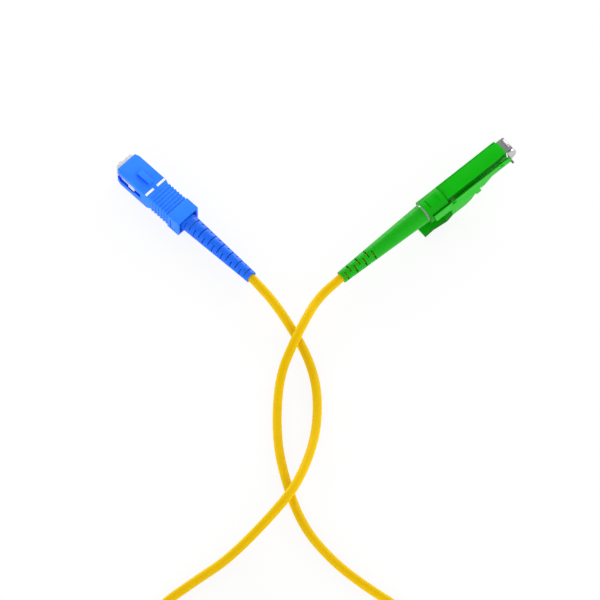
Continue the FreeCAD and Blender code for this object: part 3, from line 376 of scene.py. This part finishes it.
def cable_jacket():
    """Smooth cable jacket: satin, with slow changes of tone, a fine grain and a light sheen at its edges."""
    finish = Finish("yellow_jacket")
    tone = finish.ramp(finish.noise(120.0, 3.0), 0.3, 0.7)
    fine = finish.noise(5000.0, 3.0, 0.6)
    face = finish.mix(tone, colour(223, 181, 0), colour(218, 175, 0))
    finish.coat(Base_Color=face, Roughness=0.36 + 0.1 * fine, IOR=JACKET_IOR)
    finish.coat(Sheen_Weight=1.0, Sheen_Roughness=0.5, Sheen_Tint=colour(255, 220, 30))
    finish.coat(Normal=finish.bump(fine, SMOOTH_GRAIN))
    return finish.material


def ceramic():
    """Ground and polished ceramic."""
    finish = Finish("white_ceramic")
    tone = finish.noise(1500.0, 2.0)
    face = finish.mix(tone, colour(244, 243, 238), colour(236, 235, 231))
    finish.coat(Base_Color=face, Roughness=0.12 + 0.08 * tone, IOR=CERAMIC_IOR)
    return finish.material


def sheet_steel(name, face, shade, rough):
    """Bare sheet steel with fine rolling lines."""
    finish = Finish(name)
    at = finish.node("Mapping", None, {"Vector": finish.place(), "Scale": (400.0, 9000.0, 9000.0)})
    lines = finish.noise(1.0, 3.0, 0.6, at)
    finish.coat(Base_Color=finish.mix(lines, face, shade), Metallic=1.0, Roughness=rough + 0.15 * lines)
    finish.coat(Normal=finish.bump(lines, STEEL_GRAIN))
    return finish.material


def woven_tie():
    """A woven tie with a soft nap."""
    finish = Finish("woven_tie")
    at = finish.place()
    nap = finish.noise(4000.0, 4.0, 0.7, at)
    checks = finish.node("TexChecker", None, {"Vector": at, "Scale": 1600.0}, output="Fac")
    weave = 0.45 * checks + 0.55 * nap
    face = finish.mix(weave, colour(16, 16, 18), colour(76, 76, 80))
    finish.coat(Base_Color=face, Roughness=0.85, Normal=finish.bump(weave, WEAVE_DEPTH))
    return finish.material


BLUE_FACES = colour(47, 132, 253), colour(43, 127, 250)
GREEN_FACES = colour(6, 176, 5), colour(5, 171, 4)
LEVER_FACES = colour(14, 180, 12), colour(11, 175, 10)
FRAME_FACES = colour(214, 214, 212), colour(206, 206, 204)
MARK_FACES = colour(246, 245, 243), colour(240, 239, 237)
BUFFER_FACES = colour(244, 244, 240), colour(236, 236, 230)
# The blue, green and lever plastics carry painted shade in their grooves and hollows; the green ones carry
# painted light as well
BLUE = moulded_plastic("blue_plastic", *BLUE_FACES, GLOSSY_ROUGH, SMOOTH_GRAIN, blue_painted_shade)
BLUE_BOOT = rubber("blue_boot_rubber", colour(14, 99, 231), colour(22, 107, 238))
GREEN = moulded_plastic("green_plastic", *GREEN_FACES, GLOSSY_ROUGH, SMOOTH_GRAIN, green_painted_shade_and_light)
GREEN_LEVER = moulded_plastic("green_lever", *LEVER_FACES, GLOSSY_ROUGH, SMOOTH_GRAIN, lever_painted_shade_and_light)
GREEN_BOOT = rubber("green_boot_rubber", colour(3, 160, 2), colour(7, 168, 6))
WHITE_FRAME = moulded_plastic("white_frame", *FRAME_FACES, PALE_ROUGH, PALE_GRAIN)
WHITE_MARK = moulded_plastic("white_mark", *MARK_FACES, MARK_ROUGH, PALE_GRAIN)
CERAMIC = ceramic()
STEEL = sheet_steel("bright_steel", colour(206, 205, 206), colour(186, 185, 187), 0.3)
RING_STEEL = sheet_steel("ring_steel", colour(172, 169, 171), colour(152, 149, 152), 0.34)
GREY_STEEL = sheet_steel("grey_steel", colour(140, 138, 140), colour(116, 114, 117), 0.36)
JACKET = cable_jacket()
BUFFER = moulded_plastic("fibre_buffer", *BUFFER_FACES, PALE_ROUGH, PALE_GRAIN)
TIE = woven_tie()


# Plugs: each moulded or folded piece is a copy of its solid with softened edges

MERGE = 0.000002
FLAT = math.radians(1.0)
ANY_SHAPE = math.radians(180.0)
SHARP = math.radians(32.0)
SMOOTH = math.radians(30.0)
ROUND_WIRE = math.radians(40.0)


def select_only(piece):
    """Make one object the only one selected."""
    bpy.ops.object.select_all(action="DESELECT")
    piece.select_set(True)
    bpy.context.view_layer.objects.active = piece


def copied(node, label, material):
    """A copy of a solid whose triangles are merged into flat faces."""
    piece = bpy.data.objects.new(label, NODES[node].data.copy())
    bpy.context.scene.collection.objects.link(piece)
    piece.data.materials.clear()
    piece.data.materials.append(material)
    select_only(piece)
    bpy.ops.object.mode_set(mode="EDIT")
    bpy.ops.mesh.select_all(action="SELECT")
    bpy.ops.mesh.remove_doubles(threshold=MERGE)
    bpy.ops.mesh.tris_convert_to_quads(face_threshold=FLAT, shape_threshold=ANY_SHAPE)
    bpy.ops.object.mode_set(mode="OBJECT")
    return piece


def softened(node, label, edge, material, slot, body):
    """A copy of a solid with its edges broken, which stands for the solid."""
    piece = copied(node, label, material)
    bevel = piece.modifiers.new("broken_edges", "BEVEL")
    bevel.width = edge
    bevel.segments = 2
    bevel.limit_method = "ANGLE"
    bevel.angle_limit = SHARP
    bevel.use_clamp_overlap = True
    bpy.ops.object.modifier_apply(modifier=bevel.name)
    bpy.ops.object.shade_smooth_by_angle(angle=SMOOTH)
    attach(piece, body)
    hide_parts(node)


def pressed_spring(node, label):
    """A ferrule's spring as a smooth-shaded copy of its solid, with a mesh of its own, which stands for the
    solid.
    """
    piece = copied(node, label, STEEL)
    bpy.ops.object.shade_smooth_by_angle(angle=ROUND_WIRE)
    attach(piece, "cable_and_plugs")
    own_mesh(piece)
    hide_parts(node)


# Each piece's solid, name, width of broken edge, finish, slot and body

SOFTENED = [
    ("sc_sleeve", "blue_sleeve", BEVEL, BLUE, "blue_housing", "sc_coupling_sleeve"),
    ("sc_depth_marks", "white_depth_marks", 0.00005, WHITE_MARK, "white_mark", "sc_coupling_sleeve"),
    ("sc_plug_frame", "white_plug_frame", 0.0001, WHITE_FRAME, "white_frame", "cable_and_plugs"),
    ("sc_boot", "blue_slotted_boot", 0.00005, BLUE_BOOT, "blue_boot", "cable_and_plugs"),
    ("lsh_housing", "green_shell", BEVEL, GREEN, "green_housing", "cable_and_plugs"),
    ("lsh_lever", "green_thumb_lever", 0.0001, GREEN_LEVER, "green_housing", "lsh_latch_lever"),
    ("lsh_boot", "green_slotted_boot", 0.00006, GREEN_BOOT, "green_boot", "cable_and_plugs"),
    ("lsh_shutter_bracket", "steel_hinge_plate", 0.00006, GREY_STEEL, "steel", "cable_and_plugs"),
    ("lsh_shutter", "steel_shutter", 0.00005, STEEL, "steel", "lsh_shutter_flap"),
]
for row in SOFTENED:
    softened(*row)
pressed_spring("sc_ferrule_spring", "blue_plug_spring")
pressed_spring("lsh_ferrule_spring", "green_plug_spring")

# Pieces that keep their solid's own mesh

PLAIN = {
    "sc_ferrule": CERAMIC,
    "lsh_ferrule": CERAMIC,
    "sc_ferrule_flange": STEEL,
    "lsh_ferrule_flange": STEEL,
    "sc_back_body": STEEL,
    "lsh_back_body": RING_STEEL,
    "sc_crimp_ring": STEEL,
    "lsh_crimp_ring": STEEL,
    "lsh_shutter_pin": GREY_STEEL,
    "lsh_shutter_spring": STEEL,
    "lsh_cam_pins": GREY_STEEL,
    "sc_fibre": BUFFER,
    "lsh_fibre": BUFFER,
    "coil_tie": TIE,
}
for node, material in PLAIN.items():
    NODES[node].data.materials.clear()
    NODES[node].data.materials.append(material)


# Cable


def coil_points():
    """Four turns of cable, two below and two above; the last part of a turn steps over to the next."""
    turns = [
        (OUTER_TURN, LOWER_LAYER),
        (INNER_TURN, LOWER_LAYER),
        (INNER_TURN, UPPER_LAYER),
        (OUTER_TURN, UPPER_LAYER),
    ]
    points = []
    for number in range(len(turns) * POINTS_A_TURN + 1):
        turn = number / POINTS_A_TURN
        lap = min(int(turn), len(turns) - 1)
        after = min(lap + 1, len(turns) - 1)
        share = max(0.0, 1.0 - (lap + 1 - turn) / LAST_PART)
        radius = turns[lap][0] + (turns[after][0] - turns[lap][0]) * share
        height = turns[lap][1] + (turns[after][1] - turns[lap][1]) * share
        angle = 2 * math.pi * turn - math.pi / 2
        across = Vector((math.cos(angle), math.sin(angle), 0.0)) * radius
        points.append(COIL_MIDDLE + across + Vector((0.0, 0.0, height)))
    return points


def make_cable():
    """The whole cable as one smooth line, from the blue boot through the coil to the green boot."""
    line = bpy.data.curves.new("yellow_cable", "CURVE")
    line.dimensions = "3D"
    line.bevel_depth = CABLE_RADIUS
    line.bevel_resolution = 6
    line.use_fill_caps = True
    points = BLUE_ROUTE + coil_points() + GREEN_ROUTE[::-1]
    spline = line.splines.new("NURBS")
    spline.points.add(len(points) - 1)
    for point, place in zip(spline.points, points):
        point.co = (*place, 1.0)
    for point in spline.points[:POINTS_IN_A_BOOT] + spline.points[-POINTS_IN_A_BOOT:]:
        point.radius = SLIM
    spline.order_u = 3
    spline.use_endpoint_u = True
    spline.resolution_u = 10
    cable = bpy.data.objects.new("yellow_cable", line)
    bpy.context.scene.collection.objects.link(cable)
    line.materials.append(JACKET)
    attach(cable, "cable_and_plugs")
    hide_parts("cable_strand_sc", "cable_strand_lsh", "cable_coil")


make_cable()


# Floor, light and camera

WHITE = (1.0, 1.0, 1.0, 1.0)
FLOOR_COLOUR = (0.97, 0.97, 0.97, 1.0)
FLOOR_SIZE = 8.0
FLOOR_DROP = 0.0002
FLOOR_GLOW = 0.86
TENT_SIDES = 1.85
TENT_TOP = 0.49
TENT_SHOULDER = 0.9
TARGET = Vector((-0.0053, -0.02851, 0.0))
DISTANCE = 5.395
ELEVATION = math.radians(62.0)
LENS = 1000.0
SENSOR = 36.0
NEAREST = 0.01
FARTHEST = 40.0

# Each lamp's name, place, size in metres and power in watts

LAMPS = [
    ("back_left_lamp", (-0.45, 0.85, 0.25), 0.4, 3.0),
    ("back_right_lamp", (0.45, 0.85, 0.25), 0.4, 4.5),
    ("front_lamp", (0.0, -1.2, 0.35), 0.6, 4.5),
]


def seen_share(finish):
    """One for what the camera, a mirror or glass sees."""
    rays = finish.tree.nodes.new("ShaderNodeLightPath")
    kinds = ("Is Camera Ray", "Is Glossy Ray", "Is Transmission Ray")
    shares = [Value(finish, rays.outputs[name]) for name in kinds]
    return finish.node("Clamp", None, {"Value": shares[0] + shares[1] + shares[2]})


def make_floor():
    """A pale floor that looks white and keeps a soft shadow."""
    bpy.ops.object.select_all(action="DESELECT")
    bpy.ops.mesh.primitive_plane_add(size=FLOOR_SIZE, location=(0.0, 0.0, -FLOOR_DROP))
    floor = bpy.context.active_object
    floor.name = "floor"
    finish = Finish("pale_floor")
    tree = finish.tree
    tree.nodes.remove(finish.shader)
    matt = finish.node("BsdfDiffuse", None, {"Color": FLOOR_COLOUR})
    glow = finish.node("Emission", None, {"Color": WHITE, "Strength": 1.0})
    blend = finish.node("MixShader", None, {0: FLOOR_GLOW * seen_share(finish), 1: matt, 2: glow})
    tree.links.new(blend.output, tree.nodes["Material Output"].inputs["Surface"])
    floor.data.materials.append(finish.material)


def make_world():
    """A plain light tent, brighter round its sides than overhead, and white where it is seen."""
    world = bpy.data.worlds.new("room")
    bpy.context.scene.world = world
    finish = Finish("room", world)
    tree = finish.tree
    for old in list(tree.nodes):
        if old.type != "OUTPUT_WORLD":
            tree.nodes.remove(old)
    sky = finish.node("TexCoord", output="Generated")
    height = finish.node("SeparateXYZ", None, {"Vector": sky}, output="Z")
    strength = TENT_SIDES - (TENT_SIDES - TENT_TOP) * finish.ramp(height, 0.0, TENT_SHOULDER)
    dim = finish.node("Background", None, {"Color": WHITE, "Strength": strength})
    white = finish.node("Background", None, {"Color": WHITE, "Strength": 1.0})
    blend = finish.node("MixShader", None, {0: seen_share(finish), 1: dim, 2: white})
    tree.links.new(blend.output, tree.nodes["World Output"].inputs["Surface"])


def make_lamp(name, place, size, power):
    """A soft square lamp that points at the middle of the scene."""
    lamp = bpy.data.lights.new(name, "AREA")
    lamp.size = size
    lamp.energy = power
    holder = bpy.data.objects.new(name, lamp)
    holder.location = place
    holder.rotation_euler = (TARGET - Vector(place)).to_track_quat("-Z", "Y").to_euler()
    bpy.context.scene.collection.objects.link(holder)


def make_camera():
    """A long lens at the photograph's angle."""
    lens = bpy.data.cameras.new("camera")
    lens.lens = LENS
    lens.sensor_width = SENSOR
    lens.clip_start = NEAREST
    lens.clip_end = FARTHEST
    camera = bpy.data.objects.new("camera", lens)
    camera.location = TARGET + DISTANCE * Vector((0.0, -math.cos(ELEVATION), math.sin(ELEVATION)))
    camera.rotation_euler = (math.pi / 2 - ELEVATION, 0.0, 0.0)
    bpy.context.scene.collection.objects.link(camera)
    bpy.context.scene.camera = camera


make_floor()
make_world()
for lamp_row in LAMPS:
    make_lamp(*lamp_row)
make_camera()
bpy.context.scene.view_settings.view_transform = "Standard"
